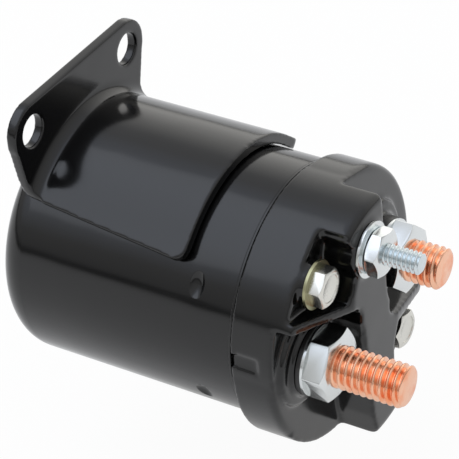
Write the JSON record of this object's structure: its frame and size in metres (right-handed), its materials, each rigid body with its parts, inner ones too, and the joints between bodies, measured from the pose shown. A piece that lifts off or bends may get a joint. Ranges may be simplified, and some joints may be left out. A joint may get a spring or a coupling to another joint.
{
  "type": "starter solenoid relay",
  "caption": "Cylindrical starter solenoid with a saddle bracket, copper power studs, a small signal stud and a sprung plunger that pushes a contact disc against the studs.",
  "frame": {"origin": "midway between the two bolt holes, on the flange's bolting face", "axes": "+X along the can's axis from the bracket's bolting face towards the studs, +Z from the can's axis towards the bolt holes, +Y completes a right-handed frame"},
  "size_m": [0.0949, 0.0627, 0.0777],
  "materials": {
    "black_paint": "gloss",
    "cap_moulding": "gloss moulding",
    "rubber": "matt",
    "copper": "bright copper",
    "zinc": "bright zinc plating",
    "yellow_zinc": "yellow zinc plating",
    "black_fibre": "pressed fibre",
    "plain_steel": "machined",
    "brass": "drawn tube",
    "nylon": "moulded",
    "enamelled_wire": "enamelled copper"
  },
  "bodies": {
    "body": {"can": "black_paint", "mounting_bracket": "black_paint", "end_cap": "cap_moulding", "cap_gasket": "rubber", "battery_stud": "copper", "motor_stud": "copper", "power_nuts": "zinc", "power_washers": "zinc", "insulating_washers": "black_fibre", "signal_stud": "zinc", "signal_nut": "zinc", "signal_washer": "zinc", "signal_lock_washer": "zinc", "cap_screws": "zinc", "cap_screw_washers": "yellow_zinc", "pole_piece": "plain_steel", "guide_tube": "brass", "coil_bobbin": "nylon", "coil_winding": "enamelled_wire", "coil_leads": "enamelled_wire", "rear_flux_washer": "plain_steel", "rubber_bumper": "rubber"},
    "plunger_assembly": {"plunger": "plain_steel", "push_rod": "plain_steel", "retaining_clip": "plain_steel", "front_insulating_washer": "black_fibre", "contact_spring": "plain_steel", "return_spring": "plain_steel"},
    "contact_assembly": {"contact_disc": "copper", "contact_bush": "black_fibre"}
  },
  "joints": [
    {"name": "plunger_travel", "type": "slide", "parent": "body", "child": "plunger_assembly", "axis": [1, 0, 0], "range_m": [0, 0.0032], "deforming": ["return_spring"]},
    {"name": "contact_overtravel", "type": "slide", "parent": "plunger_assembly", "child": "contact_assembly", "axis": [-1, 0, 0], "range_m": [0, 0.0008], "deforming": ["contact_spring"]}
  ],
  "couplings": [
    {"joint": "contact_overtravel", "follows": "plunger_travel", "ratio": 0.25}
  ]
}
